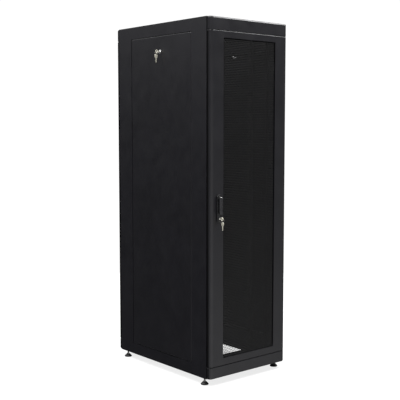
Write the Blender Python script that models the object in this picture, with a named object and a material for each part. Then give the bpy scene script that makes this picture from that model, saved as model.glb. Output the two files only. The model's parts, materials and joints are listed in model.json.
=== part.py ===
"""Network server rack cabinet, 42 rack units high, 600 mm wide.

Metres, +Z up, front towards -Y, origin on the floor under the middle of the cabinet.
The sections below follow the way the cabinet comes apart: frame, skin, rack rails, doors,
swing handles, key locks, side panels and levelling feet.
"""

import math

import bmesh
import bpy
from mathutils import Matrix, Vector

# ---- driving dimensions, in metres -------------------------------------------------------

WIDTH = 0.600
FRAME_DEPTH = 0.830
FRAME_HEIGHT = 2.013
FOOT_HEIGHT = 0.042

# clearances
TOUCH_GAP = 0.0003
SEAM = 0.0015
DOOR_SEAM = 0.0025
DOOR_STANDOFF = 0.006
RUNNING = 0.0004

# sheet thicknesses
FRAME_SHEET = 0.002
SKIN_SHEET = 0.0015
PANEL_SHEET = 0.0012
MESH_SHEET = 0.0012

# corner posts
POST_SIDE = 0.130
POST_FACE = 0.045
SEAT_DEPTH = 0.016
SEAT_WIDTH = 0.023

# cross beams, depth rails and braces
BEAM_HEIGHT = 0.065
BEAM_DEPTH = 0.068
BEAM_LIP = 0.015
RAIL_TOP_STRIP = 0.071
RAIL_BOTTOM_STRIP = 0.068
RAIL_SEAT = 0.022
CARRIER_INSET = 0.030
CARRIER_REACH = 0.145
BRACE_HEIGHT = 0.050
BRACE_MIDDLE = 1.000

# doors and fascias
END_DEPTH = 0.024
CORNER_RADIUS = 0.024
TOP_FASCIA = 0.072
BOTTOM_FASCIA = 0.067
FASCIA_EDGE_RADIUS = 0.008
DOOR_EDGE_RADIUS = 0.002
FASCIA_TAB_WIDTH = 0.080
FASCIA_TAB_PLACE = 0.170
WINDOW_WIDTH = 0.400
WINDOW_TOP_BORDER = 0.037
WINDOW_BOTTOM_BORDER = 0.040
WINDOW_LIP = 0.004
MESH_OVERLAP = 0.008

# hinge pins
PIN_RADIUS = 0.003
PIN_INSET = 0.012
PIN_IN_FASCIA = 0.012
PIN_IN_DOOR = 0.022
COLLAR_RADIUS = 0.005
COLLAR_HEIGHT = 0.003

# roof and base
ROOF_SHEET = 0.002
VENT_SIDE = 0.360
VENT_FLANGE = 0.020
VENT_SETBACK = 0.145
VENT_SLOTS = 7
VENT_SLOT_WIDTH = 0.020
ROOF_ENTRY_WIDTH = 0.300
ROOF_ENTRY_DEPTH = 0.100
ROOF_ENTRY_SETBACK = 0.125
BASE_HEIGHT = 0.0275
BASE_FOLD = 0.014
BASE_ENTRY_WIDTH = 0.450
BASE_ENTRY_DEPTH = 0.338
BASE_CLEARANCE = 0.0006

# 19-inch rack rails
UNIT_HEIGHT = 0.04445
UNIT_HOLES = (0.00635, 0.022225, 0.0381)
HOLE_SIDE = 0.0095
HOLE_SPACING = 0.4651
RACK_CLEAR_WIDTH = 0.450
RACK_BOTTOM = 0.073
RACK_TOP_ROOM = 0.073
RACK_FACE = 0.030
RACK_WEB = 0.045
RACK_LIP = 0.015
FRONT_RACK_SETBACK = 0.210
REAR_RACK_OVERLAP = 0.020

# swing handle, measured from the bottom of the frame
HANDLE_INSET = 0.064
HANDLE_TOP = 1.042
HANDLE_BOTTOM = 0.886
HANDLE_WIDTH = 0.032
HOUSING_DEPTH = 0.008
SPINDLE_PLACE = 1.022
SPINDLE_RADIUS = 0.006
HUB_RADIUS = 0.010
HUB_DEPTH = 0.0024
LUG_WIDTH = 0.008
LUG_RADIUS = 0.006
LEVER_WIDTH = 0.022
LEVER_RADIUS = 0.0075
LEVER_BOTTOM = 0.932
LEVER_STEP = 0.0004
LEVER_TAPER = 0.0008
CAM_LENGTH = 0.042
CAM_WIDTH = 0.012
CAM_SHEET = 0.0025
CAM_GAP = 0.001

# key locks
LOCK_PLACE = 0.906
PLUG_RADIUS = 0.0055
PLUG_PROUD = 0.003
KEY_SHEET = 0.002
KEY_SHANK = 0.006
KEY_NECK = 0.006
KEY_BOW_RADIUS = 0.011
KEY_HOLE_RADIUS = 0.0027
KEY_HOLE_OUT = 0.0055
KEY_BLADE = 0.026
RING_RADIUS = 0.0105
RING_WIRE = 0.0008
RING_PLAY = 0.0006

# side panels
PANEL_DEPTH = 0.013
SIDE_LOCK_DROP = 0.163
BARREL_RADIUS = 0.009
BARREL_FLANGE_RADIUS = 0.011
BARREL_FLANGE = 0.002
BARREL_END = 0.0015
SIDE_CAM_LENGTH = 0.034

# levelling feet
FOOT_SIDE_INSET = 0.023
FOOT_END_INSET = 0.040
FOOT_RADIUS = 0.0225
FOOT_RIM = 0.006
FOOT_CONE = 0.018
FOOT_NECK_RADIUS = 0.010
STUD_RADIUS = 0.005
STUD_ABOVE_FLANGE = 0.030

# earth stud
EARTH_RADIUS = 0.003
EARTH_LENGTH = 0.020
EARTH_HEIGHT = 0.120
EARTH_SETBACK = 0.055

ROUND_SIDES = 20
FINE_SIDES = 12
RING_STEPS = 16
WIRE_SIDES = 5
ARC_STEPS = 5
EDGE_STEPS = 2
THROUGH = 0.010
SHARP_ANGLE = math.radians(35)

# ---- planes worked out from the driving dimensions ----------------------------------------

HALF_WIDTH = WIDTH / 2
HALF_FRAME = FRAME_DEPTH / 2
BOTTOM = FOOT_HEIGHT
TOP = FOOT_HEIGHT + FRAME_HEIGHT
FRAME_TOP = TOP - ROOF_SHEET - TOUCH_GAP
DOOR_BACK = HALF_FRAME + DOOR_STANDOFF
DOOR_FACE = DOOR_BACK + END_DEPTH
DOOR_BOTTOM = BOTTOM + BOTTOM_FASCIA + DOOR_SEAM
DOOR_TOP = TOP - TOP_FASCIA - DOOR_SEAM
SEAT_EDGE = HALF_FRAME - POST_SIDE
CARRIER_FACE = HALF_WIDTH - CARRIER_INSET
PIN_SIDE = HALF_WIDTH - PIN_INSET
PIN_OUT = DOOR_FACE - PIN_INSET
HANDLE_SIDE = -(HALF_WIDTH - HANDLE_INSET)
HOUSING_FACE = DOOR_FACE + TOUCH_GAP + HOUSING_DEPTH
FRAME_FACE_BACK = HALF_FRAME - FRAME_SHEET
RACK_UNITS = math.floor((FRAME_HEIGHT - RACK_BOTTOM - RACK_TOP_ROOM) / UNIT_HEIGHT)
REAR_RACK_SETBACK = POST_SIDE - REAR_RACK_OVERLAP
VENT_PLACE = VENT_SETBACK + VENT_SIDE / 2 - HALF_FRAME
ROOF_ENTRY_PLACE = HALF_FRAME - ROOF_ENTRY_SETBACK
EARTH_PLACE = HALF_FRAME - EARTH_SETBACK
SIDE_LOCK_HEIGHT = TOP - SIDE_LOCK_DROP
PAN_RADIUS = min(CORNER_RADIUS, END_DEPTH)
LOCK_LOCAL_PLACE = Vector((HANDLE_SIDE, -HOUSING_FACE, BOTTOM + LOCK_PLACE))

HALF_TURN = Matrix.Rotation(math.pi, 4, "Z")
LEFT_TURN = Matrix.Rotation(-math.pi / 2, 4, "Z")
RIGHT_TURN = Matrix.Rotation(math.pi / 2, 4, "Z")
SAME = Matrix.Identity(4)


# ---- materials ----------------------------------------------------------------------------


def material(name, colour, roughness, metallic=0.0):
    made = bpy.data.materials.new(name)
    made.use_nodes = True
    shader = made.node_tree.nodes["Principled BSDF"]
    shader.inputs["Base Color"].default_value = (*colour, 1.0)
    shader.inputs["Roughness"].default_value = roughness
    shader.inputs["Metallic"].default_value = metallic
    made.diffuse_color = (*colour, 1.0)
    return made


def make_materials():
    return {
        "frame": material("frame_powder_coat", (0.0110, 0.0105, 0.0135), 0.38),
        "skin": material("skin_powder_coat", (0.0120, 0.0115, 0.0145), 0.36),
        "mesh": material("mesh_powder_coat", (0.0160, 0.0160, 0.0175), 0.42),
        "rack": material("rack_rail_coat", (0.0120, 0.0120, 0.0135), 0.38),
        "housing": material("handle_plastic", (0.0110, 0.0110, 0.0120), 0.42),
        "lever": material("handle_lever_coat", (0.0200, 0.0200, 0.0220), 0.26),
        "steel": material("zinc_plated_steel", (0.55, 0.55, 0.54), 0.35, 1.0),
        "chrome": material("lock_chrome", (0.72, 0.72, 0.72), 0.15, 1.0),
        "key": material("key_nickel_brass", (0.70, 0.66, 0.52), 0.30, 1.0),
        "foot": material("foot_plastic", (0.0150, 0.0150, 0.0160), 0.55),
        "brass": material("earth_brass", (0.72, 0.56, 0.28), 0.35, 1.0),
    }


# ---- building blocks ----------------------------------------------------------------------


def clear_scene():
    for item in list(bpy.data.objects):
        bpy.data.objects.remove(item, do_unlink=True)


def finish_object(name, bm, finish, origin=(0, 0, 0), turn=SAME):
    """Turn a bmesh, drawn in place, into an object whose origin is at the given point."""
    bmesh.ops.recalc_face_normals(bm, faces=bm.faces)
    start = turn @ Vector(origin)
    bm.transform(Matrix.Translation(-start) @ turn)
    data = bpy.data.meshes.new(name)
    bm.to_mesh(data)
    bm.free()
    data.materials.append(finish)
    made = bpy.data.objects.new(name, data)
    made.location = start
    bpy.context.scene.collection.objects.link(made)
    return made


def smooth(made):
    made.data.shade_smooth()
    made.data.set_sharp_from_angle(angle=SHARP_ANGLE)
    return made


def add_prism(bm, outline, low, high, place):
    """Close a 2-D outline between two levels; place(a, b, level) gives the 3-D point."""
    lower = [bm.verts.new(place(a, b, low)) for a, b in outline]
    upper = [bm.verts.new(place(a, b, high)) for a, b in outline]
    bm.faces.new(lower)
    bm.faces.new(reversed(upper))
    for i in range(len(outline)):
        j = (i + 1) % len(outline)
        bm.faces.new((lower[j], lower[i], upper[i], upper[j]))
    return bm


def add_box(bm, low, high):
    outline = ((low[0], low[1]), (high[0], low[1]), (high[0], high[1]), (low[0], high[1]))
    return add_prism(bm, outline, low[2], high[2], lambda a, b, level: (a, b, level))


def add_rod(bm, start, end, radius, sides=ROUND_SIDES):
    """A round bar between two points."""
    start = Vector(start)
    axis = Vector(end) - start
    spin = axis.to_track_quat("Z", "Y").to_matrix().to_4x4()
    middle = Matrix.Translation(start + axis / 2) @ spin
    bmesh.ops.create_cone(
        bm, cap_ends=True, segments=sides, radius1=radius, radius2=radius,
        depth=axis.length, matrix=middle,
    )
    return bm


def add_turned(bm, steps, centre, sides=ROUND_SIDES):
    """A solid of revolution about Z through centre, from (radius, height) steps upwards."""
    rings = []
    for radius, height in steps:
        ring = []
        for i in range(sides):
            angle = 2 * math.pi * i / sides
            x = centre[0] + radius * math.cos(angle)
            y = centre[1] + radius * math.sin(angle)
            ring.append(bm.verts.new((x, y, height)))
        rings.append(ring)
    bm.faces.new(reversed(rings[0]))
    bm.faces.new(rings[-1])
    for lower, upper in zip(rings, rings[1:]):
        for i in range(sides):
            j = (i + 1) % sides
            bm.faces.new((lower[i], lower[j], upper[j], upper[i]))
    return bm


def folded_strip(path, thickness):
    """The closed outline of a sheet folded along path, with its thickness on the right."""
    corners = [Vector(point) for point in path]
    offset = []
    for i, corner in enumerate(corners):
        before = (corner - corners[i - 1]).normalized() if i else None
        after = (corners[i + 1] - corner).normalized() if i + 1 < len(corners) else None
        sides = [Vector((d.y, -d.x)) for d in (before, after) if d is not None]
        mitre = sum(sides, Vector((0, 0))).normalized()
        offset.append(corner + mitre * thickness / mitre.dot(sides[0]))
    return [tuple(p) for p in corners] + [tuple(p) for p in reversed(offset)]


def cutter(name, bm, owner):
    made = finish_object(name, bm, owner.data.materials[0])
    made.hide_render = True
    made.display_type = "WIRE"
    made.parent = owner
    made.matrix_parent_inverse = Matrix.Translation(owner.location).inverted()
    return made


def boolean(owner, tool, operation):
    change = owner.modifiers.new(operation.lower(), "BOOLEAN")
    change.operation = operation
    change.solver = "EXACT"
    change.object = tool
    return owner


def cut(owner, name, bm):
    return boolean(owner, cutter(owner.name + "_" + name, bm, owner), "DIFFERENCE")


def join(owner, name, bm):
    return boolean(owner, cutter(owner.name + "_" + name, bm, owner), "UNION")


def ride(children, parent):
    """Parent pieces to the first piece of a moving group without moving them."""
    bpy.context.view_layer.update()
    for child in children:
        child.parent = parent
        child.matrix_parent_inverse = parent.matrix_world.inverted()


# ---- frame --------------------------------------------------------------------------------


def corner_post(name, side, end, finish):
    """One folded post: face behind the door, wide side strip, step and seat for the panel."""
    seat = HALF_WIDTH - SEAT_DEPTH
    path = (
        (HALF_WIDTH - POST_FACE, HALF_FRAME),
        (HALF_WIDTH, HALF_FRAME),
        (HALF_WIDTH, SEAT_EDGE),
        (seat, SEAT_EDGE),
        (seat, SEAT_EDGE - SEAT_WIDTH),
    )
    outline = folded_strip(path, FRAME_SHEET)
    bm = bmesh.new()
    add_prism(bm, outline, BOTTOM, FRAME_TOP, lambda u, v, z: (side * u, end * v, z))
    post = finish_object(name, bm, finish)
    return cut(post, "notches", seat_notches(side, end, seat))


def seat_notches(side, end, seat):
    """Room at the top and bottom of a post's seat for the depth rails."""
    clear = FRAME_SHEET / 2
    spread = sorted((side * (seat + clear), side * (seat - FRAME_SHEET - clear)))
    reach = sorted((end * (SEAT_EDGE - TOUCH_GAP / 2), end * (SEAT_EDGE - SEAT_WIDTH - clear)))
    low_end = BOTTOM + RAIL_BOTTOM_STRIP + TOUCH_GAP
    high_end = TOP - RAIL_TOP_STRIP - TOUCH_GAP
    bm = bmesh.new()
    add_box(bm, (spread[0], reach[0], BOTTOM - THROUGH), (spread[1], reach[1], low_end))
    add_box(bm, (spread[0], reach[0], high_end), (spread[1], reach[1], TOP + THROUGH))
    return bm


def cross_beam(name, end, upper, finish):
    """A lipped channel across the front or rear, between the posts, open to the inside."""
    face = FRAME_FACE_BACK - TOUCH_GAP
    inner = face - BEAM_DEPTH
    path = (
        (inner, BEAM_HEIGHT - BEAM_LIP),
        (inner, BEAM_HEIGHT),
        (face, BEAM_HEIGHT),
        (face, 0),
        (inner, 0),
        (inner, BEAM_LIP),
    )
    outline = folded_strip(path, FRAME_SHEET)
    half = HALF_WIDTH - FRAME_SHEET - TOUCH_GAP
    base = FRAME_TOP if upper else BOTTOM
    grow = -1 if upper else 1
    bm = bmesh.new()
    add_prism(bm, outline, -half, half, lambda v, z, x: (x, end * v, base + grow * z))
    made = finish_object(name, bm, finish)
    if not upper:
        cut(made, "foot_holes", foot_hole_cutters(end))
    return made


def foot_hole_cutters(end):
    bm = bmesh.new()
    for side in (-1, 1):
        x, y = foot_place(side, end)
        add_rod(bm, (x, y, BOTTOM - THROUGH), (x, y, BOTTOM + THROUGH), STUD_RADIUS + RUNNING)
    return bm


def depth_rail(name, side, upper, finish):
    """Side strip flush with the posts, seat for the panel and a web that carries the racks."""
    strip = RAIL_TOP_STRIP - ROOF_SHEET - TOUCH_GAP if upper else RAIL_BOTTOM_STRIP
    seat = HALF_WIDTH - SEAT_DEPTH - FRAME_SHEET - TOUCH_GAP
    path = (
        (seat, strip + RAIL_SEAT),
        (seat, strip),
        (HALF_WIDTH, strip),
        (HALF_WIDTH, 0),
        (CARRIER_FACE, 0),
        (CARRIER_FACE, CARRIER_REACH),
        (seat - FRAME_SHEET, CARRIER_REACH),
    )
    outline = folded_strip(path, FRAME_SHEET)
    half = SEAT_EDGE - TOUCH_GAP
    base = FRAME_TOP if upper else BOTTOM
    grow = -1 if upper else 1
    bm = bmesh.new()
    add_prism(bm, outline, -half, half, lambda u, z, y: (side * u, y, base + grow * z))
    return finish_object(name, bm, finish)


def middle_brace(name, side, finish):
    """A cranked strap half way up that ties the posts together and steadies the rack rails."""
    tab_face = HALF_WIDTH - SEAT_DEPTH - 2 * FRAME_SHEET - TOUCH_GAP
    end = SEAT_EDGE - TOUCH_GAP
    crank = end - SEAT_WIDTH
    path = (
        (tab_face, -end),
        (tab_face, -crank),
        (CARRIER_FACE, -crank),
        (CARRIER_FACE, crank),
        (tab_face, crank),
        (tab_face, end),
    )
    outline = folded_strip(path, FRAME_SHEET)
    low = BOTTOM + BRACE_MIDDLE - BRACE_HEIGHT / 2
    bm = bmesh.new()
    add_prism(bm, outline, low, low + BRACE_HEIGHT, lambda u, y, z: (side * u, y, z))
    return finish_object(name, bm, finish)


def earth_stud(finish):
    """The threaded stud for the protective earth, on the inside of a front post."""
    outer = HALF_WIDTH - FRAME_SHEET - TOUCH_GAP
    height = BOTTOM + EARTH_HEIGHT
    bm = bmesh.new()
    add_rod(
        bm, (-outer, -EARTH_PLACE, height), (-outer + EARTH_LENGTH, -EARTH_PLACE, height),
        EARTH_RADIUS, FINE_SIDES,
    )
    return smooth(finish_object("earth_stud", bm, finish))


def make_frame(finishes):
    for side, hand in ((-1, "left"), (1, "right")):
        for end, place in ((-1, "front"), (1, "rear")):
            corner_post(f"post_{place}_{hand}", side, end, finishes["frame"])
        depth_rail(f"depth_rail_top_{hand}", side, True, finishes["frame"])
        depth_rail(f"depth_rail_bottom_{hand}", side, False, finishes["frame"])
        middle_brace(f"middle_brace_{hand}", side, finishes["frame"])
    for end, place in ((-1, "front"), (1, "rear")):
        cross_beam(f"beam_{place}_top", end, True, finishes["frame"])
        cross_beam(f"beam_{place}_bottom", end, False, finishes["frame"])
    earth_stud(finishes["brass"])


# ---- roof and base ------------------------------------------------------------------------


def make_roof(finishes):
    bm = bmesh.new()
    low = TOP - ROOF_SHEET
    add_box(bm, (-HALF_WIDTH, -HALF_FRAME, low), (HALF_WIDTH, HALF_FRAME, TOP))
    roof = finish_object("roof_panel", bm, finishes["skin"])
    half_vent = VENT_SIDE / 2
    half_entry = ROOF_ENTRY_WIDTH / 2
    half_reach = ROOF_ENTRY_DEPTH / 2
    bm = bmesh.new()
    add_box(
        bm, (-half_vent, VENT_PLACE - half_vent, low - THROUGH),
        (half_vent, VENT_PLACE + half_vent, TOP + THROUGH),
    )
    add_box(
        bm, (-half_entry, ROOF_ENTRY_PLACE - half_reach, low - THROUGH),
        (half_entry, ROOF_ENTRY_PLACE + half_reach, TOP + THROUGH),
    )
    cut(roof, "openings", bm)
    vent_cover(low - TOUCH_GAP, finishes["skin"])


def vent_cover(top, finish):
    """The slotted plate under the roof's square opening, where a fan unit would go."""
    half = VENT_SIDE / 2 + VENT_FLANGE
    bm = bmesh.new()
    add_box(bm, (-half, VENT_PLACE - half, top - SKIN_SHEET), (half, VENT_PLACE + half, top))
    cover = finish_object("roof_vent_cover", bm, finish)
    pitch = VENT_SIDE / VENT_SLOTS
    reach = VENT_SIDE / 2 - VENT_FLANGE
    bm = bmesh.new()
    for i in range(VENT_SLOTS):
        middle = VENT_PLACE - VENT_SIDE / 2 + pitch * (i + 0.5)
        low = (-reach, middle - VENT_SLOT_WIDTH / 2, top - SKIN_SHEET - THROUGH)
        high = (reach, middle + VENT_SLOT_WIDTH / 2, top + THROUGH)
        add_box(bm, low, high)
    cut(cover, "slots", bm)


def make_base(finishes):
    """The floor plate with turned-down edges and its wide cable opening."""
    half_x = CARRIER_FACE - BASE_CLEARANCE
    half_y = FRAME_FACE_BACK - TOUCH_GAP - BEAM_DEPTH - BASE_CLEARANCE
    high = BOTTOM + BASE_HEIGHT + SKIN_SHEET
    low = high - BASE_FOLD
    bm = bmesh.new()
    add_box(bm, (-half_x, -half_y, low), (half_x, half_y, high))
    base = finish_object("base_panel", bm, finishes["skin"])
    inner_x = half_x - SKIN_SHEET
    inner_y = half_y - SKIN_SHEET
    bm = bmesh.new()
    add_box(bm, (-inner_x, -inner_y, low - THROUGH), (inner_x, inner_y, high - SKIN_SHEET))
    cut(base, "underside", bm)
    entry_x = BASE_ENTRY_WIDTH / 2
    entry_y = BASE_ENTRY_DEPTH / 2
    bm = bmesh.new()
    add_box(bm, (-entry_x, -entry_y, low - THROUGH), (entry_x, entry_y, high + THROUGH))
    cut(base, "cable_opening", bm)


# ---- 19-inch rack rails -------------------------------------------------------------------


def rack_rail(name, side, end, setback, finish):
    """A folded rail with three square holes in every rack unit."""
    clear = RACK_CLEAR_WIDTH / 2
    face = HALF_FRAME - setback
    outer = CARRIER_FACE - TOUCH_GAP
    path = (
        (clear, face - RACK_LIP),
        (clear, face),
        (clear + RACK_FACE, face),
        (clear + RACK_FACE, face - RACK_WEB),
        (outer, face - RACK_WEB),
    )
    outline = folded_strip(path, FRAME_SHEET)
    low = BOTTOM + RACK_BOTTOM
    high = low + RACK_UNITS * UNIT_HEIGHT
    bm = bmesh.new()
    add_prism(bm, outline, low, high, lambda u, v, z: (side * u, end * v, z))
    rail = finish_object(name, bm, finish)
    middle = HOLE_SPACING / 2
    half = HOLE_SIDE / 2
    outline = (
        (middle - half, face - 2 * FRAME_SHEET),
        (middle + half, face - 2 * FRAME_SHEET),
        (middle + half, face + FRAME_SHEET),
        (middle - half, face + FRAME_SHEET),
    )
    bm = bmesh.new()
    for unit in range(RACK_UNITS):
        for hole in UNIT_HOLES:
            centre = low + unit * UNIT_HEIGHT + hole
            add_prism(
                bm, outline, centre - half, centre + half,
                lambda u, v, z: (side * u, end * v, z),
            )
    return cut(rail, "square_holes", bm)


def make_rack_rails(finishes):
    for side, hand in ((-1, "left"), (1, "right")):
        rack_rail(f"rack_rail_front_{hand}", side, -1, FRONT_RACK_SETBACK, finishes["rack"])
        rack_rail(f"rack_rail_rear_{hand}", side, 1, REAR_RACK_SETBACK, finishes["rack"])


# ---- doors and fascias, drawn at the front and turned half round for the rear ---------------


def end_outline(inset, back):
    """Plan of a door or fascia: straight sides and back, front corners as arcs."""
    half = HALF_WIDTH - inset
    face = DOOR_FACE - inset
    radius = PAN_RADIUS - inset
    points = [(-half, -back)]
    for turn, side in ((0, -1), (1, 1)):
        for i in range(ARC_STEPS + 1):
            step = ARC_STEPS - i if turn else i
            angle = math.pi / 2 * step / ARC_STEPS
            x = side * (half - radius + radius * math.cos(angle))
            y = -(face - radius + radius * math.sin(angle))
            points.append((x, y))
    points.append((half, -back))
    return points


def end_levels(low, high, low_edge, high_edge):
    """(inset, height) steps up a block whose outer bottom and top edges are rounded."""
    levels = []
    for edge, level, grow in ((low_edge, low, 1), (high_edge, high, -1)):
        rounded = [(0, level)]
        if edge > 0:
            rounded = []
            for i in range(EDGE_STEPS + 1):
                angle = math.pi / 2 * i / EDGE_STEPS
                inset = edge * (1 - math.sin(angle))
                rounded.append((inset, level + grow * edge * (1 - math.cos(angle))))
        levels += rounded if grow > 0 else reversed(rounded)
    return levels


def end_block(low, high, inset, back, low_edge, high_edge):
    """A solid block of the end outline with its outer edges rounded."""
    bm = bmesh.new()
    rings = []
    for extra, z in end_levels(low, high, low_edge, high_edge):
        outline = end_outline(inset + extra, back)
        rings.append([bm.verts.new((x, y, z)) for x, y in outline])
    bm.faces.new(rings[0])
    bm.faces.new(reversed(rings[-1]))
    count = len(rings[0])
    for lower, upper in zip(rings, rings[1:]):
        for i in range(count):
            j = (i + 1) % count
            bm.faces.new((lower[j], lower[i], upper[i], upper[j]))
    return bm


def end_pan(name, low, high, low_edge, high_edge, finish):
    """A pressed pan, open at the back, with the end outline."""
    block = end_block(low, high, 0, DOOR_BACK, low_edge, high_edge)
    outer = finish_object(name, block, finish)
    hollow = end_block(
        low + SKIN_SHEET, high - SKIN_SHEET, SKIN_SHEET, DOOR_BACK - THROUGH,
        low_edge - SKIN_SHEET, high_edge - SKIN_SHEET,
    )
    return cut(outer, "hollow", hollow)


def bake(made, turn=SAME, origin=(0, 0, 0)):
    """Settle the modifiers into the mesh, turn it and put the origin on its joint axis."""
    bpy.context.view_layer.update()
    graph = bpy.context.evaluated_depsgraph_get()
    solid = bpy.data.meshes.new_from_object(made.evaluated_get(graph))
    tools = [change.object for change in made.modifiers]
    made.modifiers.clear()
    for tool in tools:
        bpy.data.objects.remove(tool, do_unlink=True)
    start = turn @ Vector(origin)
    solid.transform(Matrix.Translation(-start) @ turn @ made.matrix_world)
    made.data = solid
    made.matrix_world = Matrix.Translation(start)
    return smooth(made)


def pin_hole(bm, height):
    start = (PIN_SIDE, -PIN_OUT, height - THROUGH)
    end = (PIN_SIDE, -PIN_OUT, height + THROUGH)
    return add_rod(bm, start, end, PIN_RADIUS + RUNNING)


def fascia(name, upper, finish, turn):
    """A fixed cover above or below a door, with two tabs back to the frame and a pin hole."""
    low = TOP - TOP_FASCIA if upper else BOTTOM
    high = TOP if upper else BOTTOM + BOTTOM_FASCIA
    free, shut = FASCIA_EDGE_RADIUS, DOOR_EDGE_RADIUS
    made = end_pan(name, low, high, shut if upper else free, free if upper else shut, finish)
    tab_z = low + FASCIA_EDGE_RADIUS if upper else high - FASCIA_EDGE_RADIUS
    tabs = bmesh.new()
    for side in (-1, 1):
        middle = side * FASCIA_TAB_PLACE
        half = FASCIA_TAB_WIDTH / 2
        add_box(
            tabs, (middle - half, -(DOOR_FACE - SKIN_SHEET / 2), tab_z - SKIN_SHEET),
            (middle + half, -(HALF_FRAME + TOUCH_GAP), tab_z + SKIN_SHEET),
        )
    join(made, "tabs", tabs)
    cut(made, "pin_hole", pin_hole(bmesh.new(), low if upper else high))
    return bake(made, turn)


def hinge_pin(name, upper, finish, turn):
    """A pin with a collar inside the door, reaching into the fascia above or below."""
    edge = DOOR_TOP if upper else DOOR_BOTTOM
    grow = 1 if upper else -1
    collar = edge - grow * (SKIN_SHEET + TOUCH_GAP)
    steps = (
        (PIN_RADIUS, edge + grow * PIN_IN_FASCIA),
        (PIN_RADIUS, collar),
        (COLLAR_RADIUS, collar),
        (COLLAR_RADIUS, collar - grow * COLLAR_HEIGHT),
        (PIN_RADIUS, collar - grow * COLLAR_HEIGHT),
        (PIN_RADIUS, edge - grow * PIN_IN_DOOR),
    )
    bm = add_turned(bmesh.new(), steps, (PIN_SIDE, -PIN_OUT), FINE_SIDES)
    return smooth(finish_object(name, bm, finish, (PIN_SIDE, -PIN_OUT, edge), turn))


def door_pan(name, finish):
    """The pressed door, pierced for the hinge pins and the handle's spindle."""
    edge = DOOR_EDGE_RADIUS
    made = end_pan(name, DOOR_BOTTOM, DOOR_TOP, edge, edge, finish)
    holes = bmesh.new()
    pin_hole(holes, DOOR_TOP)
    pin_hole(holes, DOOR_BOTTOM)
    spindle = BOTTOM + SPINDLE_PLACE
    add_rod(
        holes, (HANDLE_SIDE, -DOOR_FACE - THROUGH, spindle),
        (HANDLE_SIDE, -DOOR_BACK, spindle), SPINDLE_RADIUS + RUNNING,
    )
    return cut(made, "holes", holes)


def window_box(bm, grow, front, back):
    half = WINDOW_WIDTH / 2 + grow
    low = DOOR_BOTTOM + WINDOW_BOTTOM_BORDER - grow
    high = DOOR_TOP - WINDOW_TOP_BORDER + grow
    return add_box(bm, (-half, -front, low), (half, -back, high))


def front_door(finishes):
    """The framed door: pan with a lipped window, and the perforated sheet behind it."""
    frame = door_pan("front_door_frame", finishes["skin"])
    lip_back = DOOR_FACE - WINDOW_LIP
    lip = window_box(bmesh.new(), SKIN_SHEET, DOOR_FACE - SKIN_SHEET / 2, lip_back)
    join(frame, "window_lip", lip)
    opening = window_box(bmesh.new(), 0, DOOR_FACE + THROUGH, DOOR_BACK)
    cut(frame, "window", opening)
    bake(frame, SAME, (PIN_SIDE, -PIN_OUT, DOOR_BOTTOM))
    sheet_face = lip_back - TOUCH_GAP
    bm = window_box(bmesh.new(), MESH_OVERLAP, sheet_face, sheet_face - MESH_SHEET)
    mesh = finish_object("front_door_mesh", bm, finishes["mesh"])
    return [frame, mesh]


def rear_door(finishes):
    """The plain steel door at the back, the front door's pan without its window."""
    made = door_pan("rear_door_pan", finishes["skin"])
    return [bake(made, HALF_TURN, (PIN_SIDE, -PIN_OUT, DOOR_BOTTOM))]


def make_end(place, turn, finishes):
    """Fascias, door, hinge pins and handle of one end of the cabinet."""
    fascia(f"fascia_{place}_top", True, finishes["skin"], turn)
    fascia(f"fascia_{place}_bottom", False, finishes["skin"], turn)
    door = front_door(finishes) if place == "front" else rear_door(finishes)
    door.append(hinge_pin(f"{place}_hinge_pin_upper", True, finishes["steel"], turn))
    door.append(hinge_pin(f"{place}_hinge_pin_lower", False, finishes["steel"], turn))
    door.append(handle_housing(f"{place}_handle_housing", finishes["housing"], turn))
    spindle = handle_spindle(f"{place}_handle_spindle", finishes["steel"], turn)
    lever = handle_lever(f"{place}_handle_lever", finishes["lever"], turn)
    plug = lock_plug(f"{place}_lock_plug", HOUSING_DEPTH, finishes["chrome"])
    place_lock([plug], LOCK_LOCAL_PLACE, turn)
    ride([lever], spindle)
    ride(door[1:] + [spindle, plug], door[0])
    if place == "front":
        ride([key_set(place, LOCK_LOCAL_PLACE, turn, finishes)], plug)


# ---- swing handle -------------------------------------------------------------------------


def stadium(width, low, high, steps=ARC_STEPS):
    """A flat outline with round ends, upright about x = 0, as (x, z) points."""
    radius = width / 2
    points = []
    for i in range(2 * steps + 1):
        angle = math.pi * i / (2 * steps)
        points.append((radius * math.cos(angle), high - radius + radius * math.sin(angle)))
    for i in range(2 * steps + 1):
        angle = math.pi * (1 + i / (2 * steps))
        points.append((radius * math.cos(angle), low + radius + radius * math.sin(angle)))
    return points


def handle_housing(name, finish, turn):
    """The base plate on the door, bored for the spindle and the lock plug."""
    outline = stadium(HANDLE_WIDTH, BOTTOM + HANDLE_BOTTOM, BOTTOM + HANDLE_TOP)
    back = -(DOOR_FACE + TOUCH_GAP)
    bm = bmesh.new()
    add_prism(
        bm, outline, -HOUSING_FACE, back, lambda x, z, y: (HANDLE_SIDE + x, y, z)
    )
    made = smooth(finish_object(name, bm, finish))
    holes = bmesh.new()
    for height, radius in ((SPINDLE_PLACE, SPINDLE_RADIUS), (LOCK_PLACE, PLUG_RADIUS)):
        z = BOTTOM + height
        add_rod(
            holes, (HANDLE_SIDE, -HOUSING_FACE - THROUGH, z),
            (HANDLE_SIDE, back + THROUGH, z), radius + RUNNING,
        )
    cut(made, "holes", holes)
    return bake(made, turn, (HANDLE_SIDE, back, BOTTOM + SPINDLE_PLACE))


def lever_pivot():
    """The point about which the lever tilts, in front of the spindle's hub."""
    out = HOUSING_FACE + LEVER_STEP + HUB_DEPTH + LEVER_STEP + LEVER_RADIUS
    return Vector((HANDLE_SIDE, -out, BOTTOM + SPINDLE_PLACE))


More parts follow.
